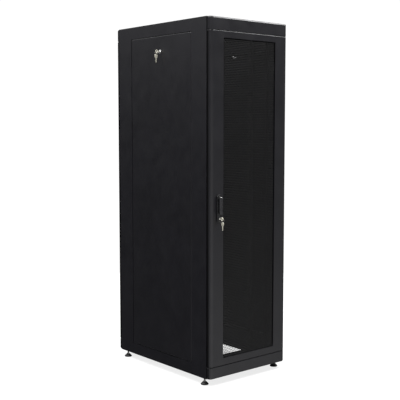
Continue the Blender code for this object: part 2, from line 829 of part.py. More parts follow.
def handle_spindle(name, finish, turn):
    """Hub and lug in front, shaft through the door, cam behind the post's face."""
    z = BOTTOM + SPINDLE_PLACE
    hub_back = HOUSING_FACE + LEVER_STEP
    cam_face = FRAME_FACE_BACK - CAM_GAP
    cam_back = cam_face - CAM_SHEET
    pivot = lever_pivot()
    bm = bmesh.new()
    shaft_front = hub_back + HUB_DEPTH / 2
    add_rod(bm, (HANDLE_SIDE, -cam_back, z), (HANDLE_SIDE, -shaft_front, z), SPINDLE_RADIUS)
    made = finish_object(name, bm, finish)
    hub = add_rod(
        bmesh.new(), (HANDLE_SIDE, -hub_back, z), (HANDLE_SIDE, -hub_back - HUB_DEPTH, z),
        HUB_RADIUS,
    )
    join(made, "hub", hub)
    half = LUG_WIDTH / 2
    stem = add_box(
        bmesh.new(), (HANDLE_SIDE - half, pivot.y, z - LUG_RADIUS + RUNNING),
        (HANDLE_SIDE + half, -shaft_front, z + LUG_RADIUS - RUNNING),
    )
    join(made, "stem", stem)
    lug = add_rod(
        bmesh.new(), (HANDLE_SIDE - half + RUNNING / 2, pivot.y, z),
        (HANDLE_SIDE + half - RUNNING / 2, pivot.y, z), LUG_RADIUS,
    )
    join(made, "lug", lug)
    cam = add_box(
        bmesh.new(), (HANDLE_SIDE - CAM_LENGTH, -cam_face, z - CAM_WIDTH / 2 - RUNNING),
        (HANDLE_SIDE + CAM_WIDTH / 2 + RUNNING, -cam_back + RUNNING, z + CAM_WIDTH / 2 + RUNNING),
    )
    join(made, "cam", cam)
    return bake(made, turn, (HANDLE_SIDE, -hub_back, z))


def handle_lever(name, finish, turn):
    """The grip: round about its pivot at the top, tapering in thickness to its free end."""
    pivot = lever_pivot()
    low = BOTTOM + LEVER_BOTTOM - pivot.z
    half = LEVER_WIDTH / 2
    outline = [(-LEVER_RADIUS, low), (LEVER_RADIUS - LEVER_TAPER, low)]
    for i in range(2 * ARC_STEPS + 1):
        angle = math.pi * i / (2 * ARC_STEPS)
        outline.append((LEVER_RADIUS * math.cos(angle), LEVER_RADIUS * math.sin(angle)))
    bm = bmesh.new()
    add_prism(
        bm, outline, -half, half,
        lambda y, z, x: (pivot.x + x, pivot.y + y, pivot.z + z),
    )
    made = smooth(finish_object(name, bm, finish))
    slot = LUG_WIDTH / 2 + RUNNING
    reach = LUG_RADIUS + LEVER_RADIUS / 2
    bm = add_box(
        bmesh.new(), (pivot.x - slot, pivot.y - THROUGH, pivot.z - reach),
        (pivot.x + slot, pivot.y + THROUGH, pivot.z + THROUGH),
    )
    cut(made, "fork", bm)
    return bake(made, turn, pivot)


# ---- key locks, drawn about an origin on the lock's face with the key pointing to -Y --------


def lock_plug(name, inside, finish):
    """The round plug that the key turns."""
    bm = add_rod(bmesh.new(), (0, -PLUG_PROUD, 0), (0, inside - TOUCH_GAP, 0), PLUG_RADIUS)
    return smooth(finish_object(name, bm, finish))


def key_outline(blade):
    """A flat key as (out, up) points: shank from the plug, then a round bow."""
    half = KEY_SHANK / 2
    start = math.asin(half / KEY_BOW_RADIUS)
    centre = blade + KEY_BOW_RADIUS * math.cos(start)
    points = [(0, half), (0, -half)]
    for i in range(ROUND_SIDES + 1):
        angle = math.pi + start + (2 * math.pi - 2 * start) * i / ROUND_SIDES
        points.append(
            (centre + KEY_BOW_RADIUS * math.cos(angle), KEY_BOW_RADIUS * math.sin(angle))
        )
    return points, centre + KEY_HOLE_OUT


def flat_key(name, blade, place, finish):
    """A key cut from sheet, with a hole in its bow; place(out, up, across) gives a point."""
    outline, hole = key_outline(blade)
    half = KEY_SHEET / 2
    bm = add_prism(bmesh.new(), outline, -half, half, place)
    made = finish_object(name, bm, finish)
    start = place(hole, 0, -THROUGH)
    end = place(hole, 0, THROUGH)
    cut(made, "hole", add_rod(bmesh.new(), start, end, KEY_HOLE_RADIUS, FINE_SIDES))
    bake(made)
    return made, hole


def split_ring(name, centre, finish):
    """The ring that hangs in the key's hole, upright and facing along the lock's axis."""
    bm = bmesh.new()
    loops = []
    for i in range(RING_STEPS):
        around = 2 * math.pi * i / RING_STEPS
        loop = []
        for j in range(WIRE_SIDES):
            angle = 2 * math.pi * j / WIRE_SIDES
            radius = RING_RADIUS + RING_WIRE * math.cos(angle)
            x = centre[0] + radius * math.sin(around)
            z = centre[2] + radius * math.cos(around)
            loop.append(bm.verts.new((x, centre[1] + RING_WIRE * math.sin(angle), z)))
        loops.append(loop)
    for i in range(RING_STEPS):
        following = loops[(i + 1) % RING_STEPS]
        for j in range(WIRE_SIDES):
            k = (j + 1) % WIRE_SIDES
            bm.faces.new((loops[i][j], loops[i][k], following[k], following[j]))
    return smooth(finish_object(name, bm, finish))


def place_lock(pieces, place, turn):
    """Set lock pieces drawn about the origin at their place and turn them with their end."""
    bpy.context.view_layer.update()
    for piece in pieces:
        piece.matrix_world = turn @ Matrix.Translation(place) @ piece.matrix_world


def key_set(place_name, place, turn, finishes):
    """The key in the lock, and the ring with the spare key that hangs from it."""
    face = PLUG_PROUD + TOUCH_GAP
    key, hole = flat_key(
        f"{place_name}_key", KEY_NECK,
        lambda out, up, across: (across, -(face + out), up), finishes["key"],
    )
    hang = Vector((0, -(face + hole), KEY_HOLE_RADIUS - RING_WIRE - RING_PLAY))
    ring = split_ring(
        f"{place_name}_key_ring", (0, hang.y, hang.z - RING_RADIUS), finishes["steel"]
    )
    spare_hole = hang.z - 2 * RING_RADIUS - KEY_HOLE_RADIUS + RING_WIRE + RING_PLAY
    outline_hole = key_outline(KEY_BLADE)[1]
    spare, _ = flat_key(
        f"{place_name}_spare_key", KEY_BLADE,
        lambda out, up, across: (across, hang.y + up, spare_hole - outline_hole + out),
        finishes["key"],
    )
    set_origin(ring, hang)
    set_origin(spare, hang)
    place_lock([key, ring, spare], place, turn)
    ride([spare], ring)
    ride([ring], key)
    return key


def set_origin(made, point):
    """Move an object's origin to a point without moving its shape."""
    bpy.context.view_layer.update()
    shift = made.matrix_world.inverted() @ Vector(point)
    made.data.transform(Matrix.Translation(-shift))
    made.matrix_world = made.matrix_world @ Matrix.Translation(shift)


# ---- side panels --------------------------------------------------------------------------


def side_panel(hand, side, finishes):
    """A lift-off pan between the posts, with its lock near the top."""
    half = SEAT_EDGE - SEAM
    low = BOTTOM + RAIL_BOTTOM_STRIP + SEAM
    high = TOP - RAIL_TOP_STRIP - SEAM
    inner = HALF_WIDTH - PANEL_DEPTH
    bm = bmesh.new()
    spread = sorted((side * inner, side * HALF_WIDTH))
    add_box(bm, (spread[0], -half, low), (spread[1], half, high))
    panel = finish_object(f"side_panel_{hand}", bm, finishes["skin"])
    hollow = sorted((side * (inner - THROUGH), side * (HALF_WIDTH - PANEL_SHEET)))
    bm = bmesh.new()
    add_box(
        bm, (hollow[0], PANEL_SHEET - half, low + PANEL_SHEET),
        (hollow[1], half - PANEL_SHEET, high - PANEL_SHEET),
    )
    cut(panel, "hollow", bm)
    z = SIDE_LOCK_HEIGHT
    start = (side * (inner - THROUGH), 0, z)
    end = (side * (HALF_WIDTH + THROUGH), 0, z)
    cut(panel, "lock_hole", add_rod(bmesh.new(), start, end, BARREL_RADIUS + TOUCH_GAP))
    barrel, plug = side_lock(hand, finishes)
    turn = LEFT_TURN if side < 0 else RIGHT_TURN
    place = Vector((0, -HALF_WIDTH - TOUCH_GAP - BARREL_FLANGE, z))
    place_lock([barrel, plug], place, turn)
    key = key_set(f"side_{hand}", place, turn, finishes)
    ride([key], plug)
    ride([barrel, plug], panel)


def side_lock(hand, finishes):
    """Barrel through the panel, and the plug with the cam that catches behind the rail."""
    back = BARREL_FLANGE + TOUCH_GAP + CARRIER_INSET - FRAME_SHEET - BARREL_END
    bm = add_rod(bmesh.new(), (0, BARREL_FLANGE / 2, 0), (0, back, 0), BARREL_RADIUS)
    barrel = smooth(finish_object(f"side_{hand}_lock_barrel", bm, finishes["chrome"]))
    flange = add_rod(bmesh.new(), (0, 0, 0), (0, BARREL_FLANGE, 0), BARREL_FLANGE_RADIUS)
    join(barrel, "flange", flange)
    bore = add_rod(
        bmesh.new(), (0, -THROUGH, 0), (0, back + THROUGH, 0), PLUG_RADIUS + RUNNING
    )
    cut(barrel, "bore", bore)
    bake(barrel)
    cam_face = BARREL_FLANGE + TOUCH_GAP + CARRIER_INSET + CAM_GAP
    plug = lock_plug(f"side_{hand}_lock_plug", cam_face + CAM_SHEET / 2, finishes["chrome"])
    half = CAM_WIDTH / 2
    cam = add_box(
        bmesh.new(), (-half, cam_face, -half), (half, cam_face + CAM_SHEET, SIDE_CAM_LENGTH)
    )
    join(plug, "cam", cam)
    bake(plug)
    return barrel, plug


# ---- levelling feet -----------------------------------------------------------------------


def foot_place(side, end):
    return side * (HALF_WIDTH - FOOT_SIDE_INSET), end * (HALF_FRAME - FOOT_END_INSET)


def levelling_foot(name, side, end, finish):
    """A conical pad with its stud up through the beam."""
    steps = (
        (FOOT_RADIUS, 0),
        (FOOT_RADIUS, FOOT_RIM),
        (FOOT_NECK_RADIUS, FOOT_CONE),
        (STUD_RADIUS, FOOT_CONE),
        (STUD_RADIUS, BOTTOM + STUD_ABOVE_FLANGE),
    )
    x, y = foot_place(side, end)
    bm = add_turned(bmesh.new(), steps, (x, y))
    return smooth(finish_object(name, bm, finish, (x, y, 0)))


def make_feet(finishes):
    for side, hand in ((-1, "left"), (1, "right")):
        for end, place in ((-1, "front"), (1, "rear")):
            levelling_foot(f"foot_{place}_{hand}", side, end, finishes["foot"])


# ---- the cabinet --------------------------------------------------------------------------


def main():
    clear_scene()
    finishes = make_materials()
    make_frame(finishes)
    make_roof(finishes)
    make_base(finishes)
    make_rack_rails(finishes)
    make_end("front", SAME, finishes)
    make_end("rear", HALF_TURN, finishes)
    side_panel("left", -1, finishes)
    side_panel("right", 1, finishes)
    make_feet(finishes)


main()
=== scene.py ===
"""Network server rack cabinet: the looks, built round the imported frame."""

import json
import math

import bmesh
import bpy
import numpy as np
from mathutils import Matrix, Vector


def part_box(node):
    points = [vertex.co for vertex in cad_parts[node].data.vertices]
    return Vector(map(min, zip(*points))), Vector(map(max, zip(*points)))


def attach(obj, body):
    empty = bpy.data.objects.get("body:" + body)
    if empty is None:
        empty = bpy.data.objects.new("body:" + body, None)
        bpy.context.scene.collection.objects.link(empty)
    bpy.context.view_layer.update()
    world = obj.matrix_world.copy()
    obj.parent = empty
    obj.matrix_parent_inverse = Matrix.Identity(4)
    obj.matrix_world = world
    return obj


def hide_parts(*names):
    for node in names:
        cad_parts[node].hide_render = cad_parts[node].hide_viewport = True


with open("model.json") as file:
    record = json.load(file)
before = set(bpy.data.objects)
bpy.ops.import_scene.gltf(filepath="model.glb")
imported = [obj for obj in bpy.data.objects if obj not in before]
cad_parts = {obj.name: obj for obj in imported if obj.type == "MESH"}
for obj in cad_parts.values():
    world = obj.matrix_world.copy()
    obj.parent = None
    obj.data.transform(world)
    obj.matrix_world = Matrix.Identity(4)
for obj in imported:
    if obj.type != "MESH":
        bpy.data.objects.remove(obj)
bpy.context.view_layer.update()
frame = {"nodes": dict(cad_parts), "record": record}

MM = 0.001
SMOOTH_ANGLE = 35

# ---- camera -----------------------------------------------------------------------------

CAMERA_PLACE = Vector((-3.206, -3.803, 1.452))
CAMERA_YAW = math.radians(40.174)
CAMERA_PITCH = math.radians(5.082)
LENS_MM = 73.16
SENSOR_MM = 36


def make_camera():
    data = bpy.data.cameras.new("camera")
    data.lens = LENS_MM
    data.sensor_width = SENSOR_MM
    camera = bpy.data.objects.new("camera", data)
    flat = math.cos(CAMERA_PITCH)
    look = Vector((
        math.sin(CAMERA_YAW) * flat, math.cos(CAMERA_YAW) * flat, -math.sin(CAMERA_PITCH),
    ))
    turn = look.to_track_quat("-Z", "Y").to_matrix().to_4x4()
    camera.matrix_world = Matrix.Translation(CAMERA_PLACE) @ turn
    bpy.context.scene.collection.objects.link(camera)
    bpy.context.scene.camera = camera


# ---- meshes and objects -----------------------------------------------------------------


def link(name, mesh):
    made = bpy.data.objects.new(name, mesh)
    bpy.context.scene.collection.objects.link(made)
    return made


def to_mesh(name, bm):
    """Use up a bmesh, its faces all turned outwards."""
    bmesh.ops.recalc_face_normals(bm, faces=bm.faces)
    mesh = bpy.data.meshes.new(name)
    bm.to_mesh(mesh)
    bm.free()
    return mesh


def from_bmesh(name, bm):
    return link(name, to_mesh(name, bm))


def add_bevel(made, width, angle):
    """Round the edges that are sharper than an angle in degrees."""
    edge = made.modifiers.new("edge", "BEVEL")
    edge.width, edge.segments, edge.limit_method = width, 2, "ANGLE"
    edge.angle_limit = math.radians(angle)


# ---- materials --------------------------------------------------------------------------

NOISE_ROUGHNESS = 0.55
FLECK_TINT = 1.9
METAL_TINT = 0.82
PLASTIC_TINT = 1.35
FLOOR_TINT = 0.985
FLOOR_GLOW = 0.80
# painted shade: a low specular keeps the black strips in the gaps beside the doors and fascias
# dark
SHADE_STRIP_SPECULAR = 0.08


class Nodes:
    """A material's node tree with short calls for adding and wiring nodes."""

    def __init__(self, name):
        self.material = bpy.data.materials.new(name)
        self.material.use_nodes = True
        self.tree = self.material.node_tree
        self.shader = self.tree.nodes["Principled BSDF"]
        self.place = self.add("ShaderNodeTexCoord").outputs["Object"]

    def add(self, kind, **settings):
        node = self.tree.nodes.new(kind)
        for key, value in settings.items():
            setattr(node, key, value)
        return node

    def wire(self, source, target):
        self.tree.links.new(source, target)

    def paint(self, source, socket):
        """Wire an output to one of the shader's sockets."""
        self.wire(source, self.shader.inputs[socket])

    def noise(self, scale, detail):
        node = self.add("ShaderNodeTexNoise")
        node.inputs["Scale"].default_value = scale
        node.inputs["Detail"].default_value = detail
        node.inputs["Roughness"].default_value = NOISE_ROUGHNESS
        self.wire(self.place, node.inputs["Vector"])
        return node.outputs["Fac"]

    def span(self, source, low, high, new_low, new_high):
        node = self.add("ShaderNodeMapRange")
        node.inputs["From Min"].default_value = low
        node.inputs["From Max"].default_value = high
        node.inputs["To Min"].default_value = new_low
        node.inputs["To Max"].default_value = new_high
        self.wire(source, node.inputs["Value"])
        return node.outputs["Result"]

    def mix(self, factor, first, second):
        node = self.add("ShaderNodeMix", data_type="RGBA")
        self.wire(factor, node.inputs["Factor"])
        for key, value in (("A", first), ("B", second)):
            socket = [s for s in node.inputs if s.name == key and s.type == "RGBA"][0]
            if isinstance(value, tuple):
                socket.default_value = (*value, 1.0)
            else:
                self.wire(value, socket)
        return [s for s in node.outputs if s.type == "RGBA"][0]

    def bump(self, heights, distance, under=None):
        node = self.add("ShaderNodeBump")
        node.inputs["Strength"].default_value = 1.0
        node.inputs["Distance"].default_value = distance
        self.wire(heights, node.inputs["Height"])
        if under is not None:
            self.wire(under, node.inputs["Normal"])
        return node.outputs["Normal"]


def tint(colour, factor):
    return tuple(c * factor for c in colour)


def powder_coat(name, dark, light, roughness):
    """Satin black paint: fine orange peel, pale flecks and faint handling marks."""
    n = Nodes(name)
    clouds = n.span(n.noise(5.0, 4.0), 0.3, 0.7, 0.0, 1.0)
    flecks = n.span(n.noise(900.0, 2.0), 0.62, 0.75, 0.0, 0.35)
    marks = n.span(n.noise(14.0, 5.0), 0.25, 0.75, roughness - 0.05, roughness + 0.07)
    n.paint(n.mix(flecks, n.mix(clouds, dark, light), tint(light, FLECK_TINT)), "Base Color")
    n.paint(marks, "Roughness")
    peel = n.bump(n.noise(420.0, 2.0), 0.00012)
    n.paint(n.bump(n.noise(2600.0, 1.0), 0.00004, under=peel), "Normal")
    return n.material


def metal(name, colour, roughness, metallic=1.0):
    """Plated or milled metal with faint blotches and fine scratches."""
    n = Nodes(name)
    blotches = n.span(n.noise(60.0, 4.0), 0.3, 0.7, 0.0, 1.0)
    scratches = n.span(n.noise(300.0, 3.0), 0.3, 0.7, roughness * 0.8, roughness * 1.3)
    n.paint(n.mix(blotches, tint(colour, METAL_TINT), colour), "Base Color")
    n.paint(scratches, "Roughness")
    n.paint(n.bump(n.noise(900.0, 2.0), 0.00002), "Normal")
    n.shader.inputs["Metallic"].default_value = metallic
    return n.material


def plastic(name, colour, roughness, specular=0.5):
    """Moulded plastic or rubber with a fine matt grain."""
    n = Nodes(name)
    clouds = n.span(n.noise(30.0, 3.0), 0.35, 0.65, 0.0, 1.0)
    wear = n.span(n.noise(80.0, 3.0), 0.3, 0.7, roughness - 0.06, roughness + 0.06)
    n.paint(n.mix(clouds, colour, tint(colour, PLASTIC_TINT)), "Base Color")
    n.paint(wear, "Roughness")
    n.paint(n.bump(n.noise(1400.0, 2.0), 0.00006), "Normal")
    n.shader.inputs["Specular IOR Level"].default_value = specular
    return n.material


def lit_floor(name, colour, roughness):
    """A white sweep that glows by itself, so that it keeps only a faint shadow."""
    n = Nodes(name)
    n.paint(n.mix(n.noise(0.8, 2.0), colour, tint(colour, FLOOR_TINT)), "Base Color")
    n.shader.inputs["Roughness"].default_value = roughness
    n.shader.inputs["Emission Color"].default_value = (1.0, 1.0, 1.0, 1.0)
    n.shader.inputs["Emission Strength"].default_value = FLOOR_GLOW
    return n.material


# slot: dark and light paint, roughness
COATS = {
    "frame_coat": ((0.0068, 0.0066, 0.0092), (0.0092, 0.0089, 0.0122), 0.36),
    "skin_coat": ((0.0072, 0.0070, 0.0094), (0.0098, 0.0095, 0.0126), 0.34),
    "door_mesh": ((0.010, 0.010, 0.0105), (0.013, 0.013, 0.0135), 0.42),
    "rack_rail": ((0.012, 0.012, 0.013), (0.016, 0.016, 0.017), 0.38),
}
# slot: colour, roughness
PLASTICS = {
    "handle_plastic": ((0.010, 0.010, 0.011), 0.30),
    "handle_lever": ((0.020, 0.020, 0.022), 0.26),
    "foot": ((0.012, 0.012, 0.013), 0.55),
}
# slot: colour, roughness, metallic
METALS = {
    "zinc_steel": ((0.55, 0.55, 0.54), 0.34, 1.0),
    "key_ring_steel": ((0.72, 0.71, 0.68), 0.18, 1.0),
    "lock_chrome": ((0.78, 0.78, 0.78), 0.14, 1.0),
    "key_nickel": ((0.88, 0.85, 0.72), 0.42, 0.45),
    "earth_brass": ((0.72, 0.56, 0.28), 0.32, 1.0),
}
LOOKS = {slot: powder_coat(slot, *values) for slot, values in COATS.items()}
LOOKS |= {slot: plastic(slot, *values) for slot, values in PLASTICS.items()}
LOOKS |= {slot: metal(slot, *values) for slot, values in METALS.items()}
# painted shade: near-black material for the strips that stand in for the shadow gap beside the
# doors and fascias
SHADE_STRIP_BLACK = plastic("painted_shade_strip", (0.0015, 0.0015, 0.0016), 0.85, SHADE_STRIP_SPECULAR)

FOLDED = ("post_", "beam_", "depth_rail_")
FOLD_ROUND = 0.0008
FOLD_ANGLE = 60


def dress_nodes():
    """Every CAD node takes its slot's finish, and folded sheet gets rounded folds."""
    for part in frame["record"]["subparts"]:
        node = frame["nodes"][part["node"]]
        look = LOOKS[part["material_slot"]]
        if node.material_slots:
            for place in node.material_slots:
                place.material = look
        else:
            node.data.materials.append(look)
        if part["node"].startswith(FOLDED):
            add_bevel(node, FOLD_ROUND, FOLD_ANGLE)


# ---- stage ------------------------------------------------------------------------------

FLOOR_RADIUS = 3.2
FLOOR_SIDES = 96
FLOOR_GREY = (0.25, 0.25, 0.25)
FLOOR_ROUGHNESS = 0.9
BACKDROP_STRENGTH = 1.05
ROOM_STRENGTH = 0.16
# direction, cosine where it starts, cosine where it is full, strength there
ROOM_LOBES = (
    ((-0.62, 0.76, -0.12), 0.55, 0.98, 0.06),
    ((-0.45, 0.50, 0.75), 0.70, 0.97, 1.9),
    ((0.0, -0.80, -0.60), 0.62, 0.95, 1.2),
    ((0.45, -0.70, -0.55), 0.86, 0.98, 1.0),
    ((-0.76, -0.64, -0.36), 0.955, 0.995, 1.1),
    ((0.22, 0.62, -0.76), 0.86, 0.98, 1.6),
)
# place, the point it is turned to, side of its square, watts
LAMPS = {
    "overhead": ((0.0, 0.0, 6.0), (0.0, 0.0, 0.0), 7.0, 600),
    "key": ((3.2, -1.9, 4.6), (0.0, -0.4, 1.2), 1.6, 140),
    "fill": ((-3.6, -2.9, 5.2), (0.0, -0.3, 1.2), 1.6, 120),
}


def make_stage():
    bm = bmesh.new()
    bmesh.ops.create_circle(bm, cap_ends=True, segments=FLOOR_SIDES, radius=FLOOR_RADIUS)
    floor = from_bmesh("floor", bm)
    floor.data.materials.append(lit_floor("floor", FLOOR_GREY, FLOOR_ROUGHNESS))
    floor.visible_glossy = False
    floor.visible_diffuse = False
    make_world()


def make_world():
    """A white sweep to look at, and a dimmer room to light the black paint."""
    world = bpy.data.worlds.new("studio")
    bpy.context.scene.world = world
    world.use_nodes = True
    tree = world.node_tree
    aim = tree.nodes.new("ShaderNodeTexCoord").outputs["Generated"]
    room = None
    for direction, start, full, strength in ROOM_LOBES:
        dot = tree.nodes.new("ShaderNodeVectorMath")
        dot.operation = "DOT_PRODUCT"
        dot.inputs[1].default_value = Vector(direction).normalized()
        tree.links.new(aim, dot.inputs[0])
        span = tree.nodes.new("ShaderNodeMapRange")
        span.interpolation_type = "SMOOTHSTEP"
        span.inputs["From Min"].default_value = start
        span.inputs["From Max"].default_value = full
        span.inputs["To Min"].default_value = ROOM_STRENGTH
        span.inputs["To Max"].default_value = strength
        if room is not None:
            tree.links.new(room, span.inputs["To Min"])
        tree.links.new(dot.outputs["Value"], span.inputs["Value"])
        room = span.outputs["Result"]
    path = tree.nodes.new("ShaderNodeLightPath")
    seen = tree.nodes.new("ShaderNodeMapRange")
    seen.inputs["To Max"].default_value = BACKDROP_STRENGTH
    tree.links.new(room, seen.inputs["To Min"])
    tree.links.new(path.outputs["Is Camera Ray"], seen.inputs["Value"])
    back = tree.nodes["Background"]
    back.inputs["Color"].default_value = (1.0, 1.0, 1.0, 1.0)
    tree.links.new(seen.outputs["Result"], back.inputs["Strength"])
    bpy.context.scene.view_settings.view_transform = "Standard"


def make_lights():
    for name, (place, target, side, power) in LAMPS.items():
        data = bpy.data.lights.new(name, "AREA")
        data.shape = "RECTANGLE"
        data.size = data.size_y = side
        data.energy = power
        lamp = bpy.data.objects.new(name, data)
        lamp.location = place
        aim = Vector(target) - Vector(place)
        lamp.rotation_euler = aim.to_track_quat("-Z", "Y").to_euler()
        bpy.context.scene.collection.objects.link(lamp)


# ---- perforated sheet -------------------------------------------------------------------

HOLE_PITCH = 0.011
HOLE_WEB = 0.0024
SHEET_MARGIN = 0.0075


def plate_from_sheet(name, flat, faces, front, back):
    """A flat pattern of (x, z) points and faces, given thickness and walls at open edges."""
    flat = np.asarray(flat)
    count = len(flat)
    points = np.zeros((2 * count, 3))
    points[:, [0, 2]] = np.vstack((flat, flat))
    points[:count, 1], points[count:, 1] = front, back
    open_edges = {}
    for face in faces:
        for a, b in zip(face, face[1:] + face[:1]):
            if (b, a) in open_edges:
                del open_edges[(b, a)]
            else:
                open_edges[(a, b)] = True
    solid = [tuple(face) for face in faces]
    solid += [tuple(count + i for i in reversed(face)) for face in faces]
    solid += [(b, a, count + a, count + b) for a, b in open_edges]
    mesh = bpy.data.meshes.new(name)
    mesh.from_pydata(points.tolist(), [], solid)
    mesh.validate()
    return link(name, mesh)


def hexagon_field(low, high):
    """Points and webs of a sheet pierced by hexagons that fills a box, and the holes' rims."""
    rise = HOLE_PITCH * math.sqrt(3) / 2
    radius = (HOLE_PITCH - HOLE_WEB) / math.sqrt(3)
    spare = SHEET_MARGIN + radius
    rows = int((high[1] - low[1] - 2 * spare) / rise) + 1
    columns = int((high[0] - low[0] - 2 * spare - HOLE_PITCH / 2) / HOLE_PITCH) + 1
    left = (low[0] + high[0] - (columns - 0.5) * HOLE_PITCH) / 2
    bottom = (low[1] + high[1] - (rows - 1) * rise) / 2
    turns = [math.radians(30 + 60 * k) for k in range(6)]
    ring = [(radius * math.cos(t), radius * math.sin(t)) for t in turns]
    points = []
    for row in range(rows):
        for column in range(columns):
            x = left + HOLE_PITCH * (column + 0.5 * (row % 2))
            z = bottom + rise * row
            points += [(x + u, z + v) for u, v in ring]

    def corner(cell, k):
        row, column = cell
        inside = 0 <= row < rows and 0 <= column < columns
        return (row * columns + column) * 6 + k if inside else None

    faces, rims = [], set()
    for row in range(rows):
        for column in range(columns):
            here, right = (row, column), (row, column + 1)
            above = column + row % 2
            up_right, up_left = (row + 1, above), (row + 1, above - 1)
            webs = (
                (corner(here, 0), corner(here, 5), corner(right, 3), corner(right, 2)),
                (corner(here, 1), corner(here, 0), corner(up_right, 4), corner(up_right, 3)),
                (corner(here, 2), corner(here, 1), corner(up_left, 5), corner(up_left, 4)),
                (corner(here, 0), corner(right, 2), corner(up_right, 4)),
                (corner(here, 1), corner(up_right, 3), corner(up_left, 5)),
            )
            faces += [list(web) for web in webs if None not in web]
            rims |= {(corner(here, k), corner(here, (k + 1) % 6)) for k in range(6)}
    return points, faces, rims


def fill_border(points, faces, rims, low, high):
    """Close the sheet between its outermost holes and its four edges."""
    sides = set()
    for face in faces:
        for a, b in zip(face, face[1:] + face[:1]):
            sides ^= {(min(a, b), max(a, b))}
    rims = {(min(a, b), max(a, b)) for a, b in rims}
    outline = sides ^ rims
    bm = bmesh.new()
    places = {}
    for i in sorted({i for edge in outline for i in edge}):
        places[i] = bm.verts.new((points[i][0], 0, points[i][1]))
    edges = [bm.edges.new((places[a], places[b])) for a, b in sorted(outline)]
    corners = [(low[0], low[1]), (high[0], low[1]), (high[0], high[1]), (low[0], high[1])]
    start = len(points)
    for i, (x, z) in enumerate(corners):
        places[start + i] = bm.verts.new((x, 0, z))
    for i in range(4):
        edges.append(bm.edges.new((places[start + i], places[start + (i + 1) % 4])))
    bmesh.ops.triangle_fill(bm, use_beauty=True, edges=edges, normal=(0, -1, 0))
    index = {vert: i for i, vert in places.items()}
    for face in bm.faces:
        loop = [index[vert] for vert in face.verts]
        faces.append(loop if face.normal.y < 0 else loop[::-1])
    bm.free()
    return points + corners, faces


def make_mesh_sheet():
    low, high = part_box("front_door_mesh")
    flat_low, flat_high = (low[0], low[2]), (high[0], high[2])
    points, faces, rims = hexagon_field(flat_low, flat_high)
    points, faces = fill_border(points, faces, rims, flat_low, flat_high)
    sheet = plate_from_sheet("door_perforated_sheet", points, faces, low[1], high[1])
    sheet.data.materials.append(LOOKS["door_mesh"])
    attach(sheet, "front_door")
    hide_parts("front_door_mesh")


# ---- solids for the small parts ---------------------------------------------------------

JOINTS = frame["record"]["behaviour"]["joints"]
PLACES = {joint["name"]: Vector(joint["pos_m"]) for joint in JOINTS if "pos_m" in joint}
END_TURNS = {"front": Matrix.Identity(4), "rear": Matrix.Rotation(math.pi, 4, "Z")}
HAND_TURNS = {
    "left": Matrix.Rotation(-math.pi / 2, 4, "Z"), "right": Matrix.Rotation(math.pi / 2, 4, "Z"),
}
HAND_SIDES = {"left": -1, "right": 1}
DRILL_SIDES = 40
DRILL_REACH = 0.05


def outward(x, out, z):
    """Local axes of a lock or handle: x across, out of the panel, z up."""
    return (x, -out, z)


def bridge(bm, first, second):
    """Faces between two rings of as many points."""
    count = len(first)
    for i in range(count):
        j = (i + 1) % count
        bm.faces.new((first[i], second[i], second[j], first[j]))


def prism(bm, outline, low, high, place):
    """Extrude a flat outline of (u, v) points; place(u, v, w) gives each point."""
    bottom = [bm.verts.new(place(u, v, low)) for u, v in outline]
    top = [bm.verts.new(place(u, v, high)) for u, v in outline]
    bm.faces.new(bottom)
    bm.faces.new(top[::-1])
    bridge(bm, bottom, top)
    return bm


def block(bm, low, high):
    outline = [(low[0], low[1]), (high[0], low[1]), (high[0], high[1]), (low[0], high[1])]
    return prism(bm, outline, low[2], high[2], lambda u, v, w: (u, v, w))


def loft(bm, rings, closed=False):
    """Join rings of points into one skin, capped at its two ends or closed on itself."""
    loops = [[bm.verts.new(point) for point in ring] for ring in rings]
    for first, second in zip(loops, loops[1:]):
        bridge(bm, first, second)
    if closed:
        bridge(bm, loops[-1], loops[0])
    else:
        bm.faces.new(loops[0])
        bm.faces.new(loops[-1][::-1])
    return bm


def circle(radius, sides):
    angles = [2 * math.pi * i / sides for i in range(sides)]
    return [(radius * math.cos(a), radius * math.sin(a)) for a in angles]


def turned(bm, steps, sides, place, closed=False):
    """A solid of revolution from (radius, along) steps; place(u, along, v) gives a point."""
    rings = [[place(u, along, v) for u, v in circle(radius, sides)] for radius, along in steps]
    return loft(bm, rings, closed)


def threads(radius, depth, pitch, low, high):
    """Steps of a thread's crests and roots from low to high."""
    steps = []
    count = int((high - low) / pitch)
    for i in range(count):
        steps += [(radius - depth, low + pitch * i), (radius, low + pitch * (i + 0.5))]
    return steps + [(radius - depth, high)]


def stadium(width, low, high, steps=8):
    """A flat outline with round ends, upright about x = 0."""
    radius = width / 2
    points = []
    for centre, start in ((high - radius, 0.0), (low + radius, math.pi)):
        for i in range(2 * steps + 1):
            angle = start + math.pi * i / (2 * steps)
            points.append((radius * math.cos(angle), centre + radius * math.sin(angle)))
    return points


def boolean(made, bm, operation):
    """Cut or join a helper solid, and keep the result as the piece's own mesh."""
    mesh = to_mesh("helper", bm)
    helper = link("helper", mesh)
    step = made.modifiers.new("step", "BOOLEAN")
    step.object, step.operation, step.solver = helper, operation, "EXACT"
    graph = bpy.context.evaluated_depsgraph_get()
    result = bpy.data.meshes.new_from_object(made.evaluated_get(graph))
    made.modifiers.clear()
    old, made.data = made.data, result
    bpy.data.meshes.remove(old)
    bpy.data.objects.remove(helper)
    bpy.data.meshes.remove(mesh)


def drill(made, radius, place):
    """Bore a round hole through a piece; place(u, along, v) gives a point of the drill."""
    steps = ((radius, -DRILL_REACH), (radius, DRILL_REACH))
    boolean(made, turned(bmesh.new(), steps, DRILL_SIDES, place), "DIFFERENCE")


